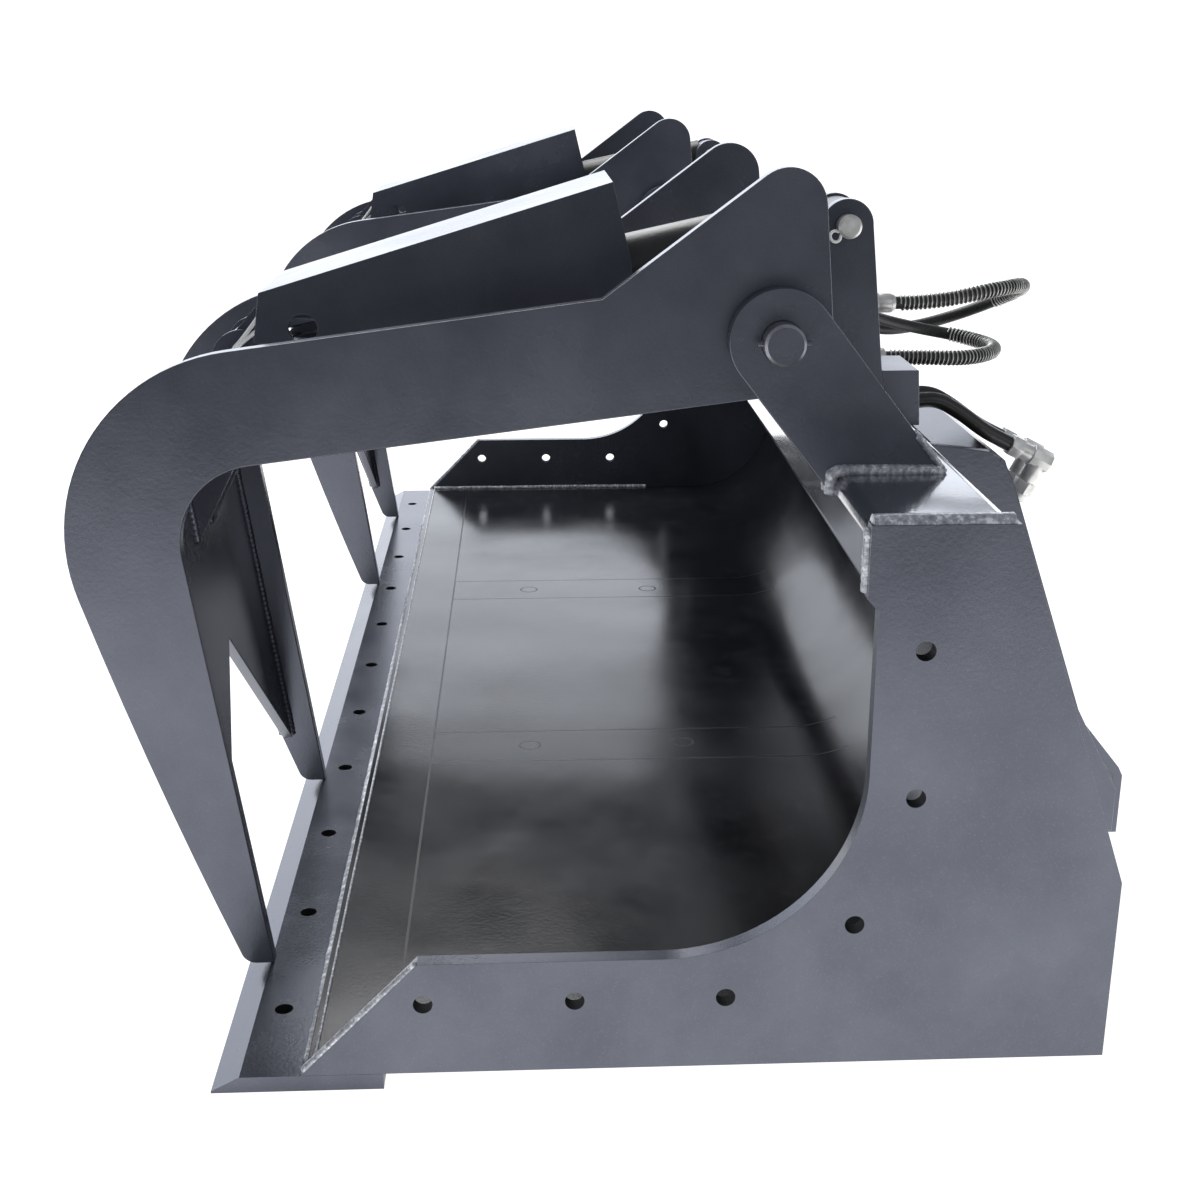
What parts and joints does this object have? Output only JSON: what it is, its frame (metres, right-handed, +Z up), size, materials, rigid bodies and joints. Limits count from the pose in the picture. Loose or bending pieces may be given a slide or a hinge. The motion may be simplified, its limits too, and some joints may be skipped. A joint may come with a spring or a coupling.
{
  "type": "grapple bucket",
  "caption": "Loader grapple bucket with two independent hydraulic grapple arms, each moved by its own cylinder, and a universal quick-attach frame on its back.",
  "frame": {"origin": "on the ground, in the middle of the bucket's width, under the floor", "axes": "+X to the operator's left, -Y to the cutting edge, +Y to the loader, +Z up"},
  "size_m": [1.6764, 0.865, 0.6383],
  "materials": {
    "painted_steel": "semi-gloss graphite paint",
    "zinc_plated_steel": "zinc plated",
    "bright_steel": "turned",
    "chromed_rod": "hard chrome",
    "hose_rubber": "satin"
  },
  "bodies": {
    "bucket": {"attach_bottom_flange": "painted_steel", "attach_gussets": "painted_steel", "attach_plate": "painted_steel", "attach_top_hook": "painted_steel", "base_pins": "zinc_plated_steel", "bucket_shell": "painted_steel", "crossover_pipes": "painted_steel", "cutting_edge": "painted_steel", "cylinder_ears_left": "painted_steel", "cylinder_ears_right": "painted_steel", "hinge_cross_pins": "zinc_plated_steel", "hinge_pin_left": "bright_steel", "hinge_pin_right": "bright_steel", "hinge_straps_left": "painted_steel", "hinge_straps_right": "painted_steel", "hose_fittings": "zinc_plated_steel", "hydraulic_hoses_left": "hose_rubber", "hydraulic_hoses_right": "hose_rubber", "manifolds": "painted_steel", "side_plate_left": "painted_steel", "side_plate_right": "painted_steel", "supply_pipes": "painted_steel", "top_tube": "painted_steel", "wear_bars": "painted_steel"},
    "cylinder_left": {"barrel_left": "painted_steel", "barrel_pipe_left": "zinc_plated_steel", "barrel_ports_left": "painted_steel", "base_eye_left": "painted_steel", "gland_left": "painted_steel"},
    "cylinder_right": {"barrel_pipe_right": "zinc_plated_steel", "barrel_ports_right": "painted_steel", "barrel_right": "painted_steel", "base_eye_right": "painted_steel", "gland_right": "painted_steel"},
    "arm_left": {"front_web_left": "painted_steel", "guard_left": "painted_steel", "hinge_bushes_left": "bright_steel", "inner_tine_left": "painted_steel", "outer_tine_left": "painted_steel", "rod_lugs_left": "painted_steel", "tie_tube_left": "painted_steel"},
    "arm_right": {"front_web_right": "painted_steel", "guard_right": "painted_steel", "hinge_bushes_right": "bright_steel", "inner_tine_right": "painted_steel", "outer_tine_right": "painted_steel", "rod_lugs_right": "painted_steel", "tie_tube_right": "painted_steel"},
    "rod_left": {"piston_left": "bright_steel", "piston_nut_left": "zinc_plated_steel", "rod_eye_left": "painted_steel", "rod_left": "chromed_rod", "rod_pin_left": "zinc_plated_steel", "rod_washers_left": "zinc_plated_steel"},
    "rod_right": {"piston_nut_right": "zinc_plated_steel", "piston_right": "bright_steel", "rod_eye_right": "painted_steel", "rod_pin_right": "zinc_plated_steel", "rod_right": "chromed_rod", "rod_washers_right": "zinc_plated_steel"}
  },
  "joints": [
    {"name": "left_arm_hinge", "type": "hinge", "parent": "bucket", "child": "arm_left", "pos_m": [0.5, -0.036, 0.5183], "axis": [-1, 0, 0], "range_deg": [0, 60]},
    {"name": "left_cylinder_swing", "type": "hinge", "parent": "bucket", "child": "cylinder_left", "pos_m": [0.5, 0.039, 0.584], "axis": [-1, 0, 0], "range_deg": [0, 52.5], "deforming": ["hydraulic_hoses_left"]},
    {"name": "left_rod_slide", "type": "slide", "parent": "cylinder_left", "child": "rod_left", "axis": [0, -0.9774, -0.2112], "range_m": [-0.0775, 0]},
    {"name": "right_arm_hinge", "type": "hinge", "parent": "bucket", "child": "arm_right", "pos_m": [-0.5, -0.036, 0.5183], "axis": [-1, 0, 0], "range_deg": [0, 60]},
    {"name": "right_cylinder_swing", "type": "hinge", "parent": "bucket", "child": "cylinder_right", "pos_m": [-0.5, 0.039, 0.584], "axis": [-1, 0, 0], "range_deg": [0, 52.5], "deforming": ["hydraulic_hoses_right"]},
    {"name": "right_rod_slide", "type": "slide", "parent": "cylinder_right", "child": "rod_right", "axis": [0, -0.9774, -0.2112], "range_m": [-0.0775, 0]}
  ],
  "couplings": [
    {"joint": "left_cylinder_swing", "follows": "left_arm_hinge", "ratio": 0.8706},
    {"joint": "left_rod_slide", "follows": "left_arm_hinge", "m_per_rad": -0.07357},
    {"joint": "right_cylinder_swing", "follows": "right_arm_hinge", "ratio": 0.8706},
    {"joint": "right_rod_slide", "follows": "right_arm_hinge", "m_per_rad": -0.07357}
  ]
}
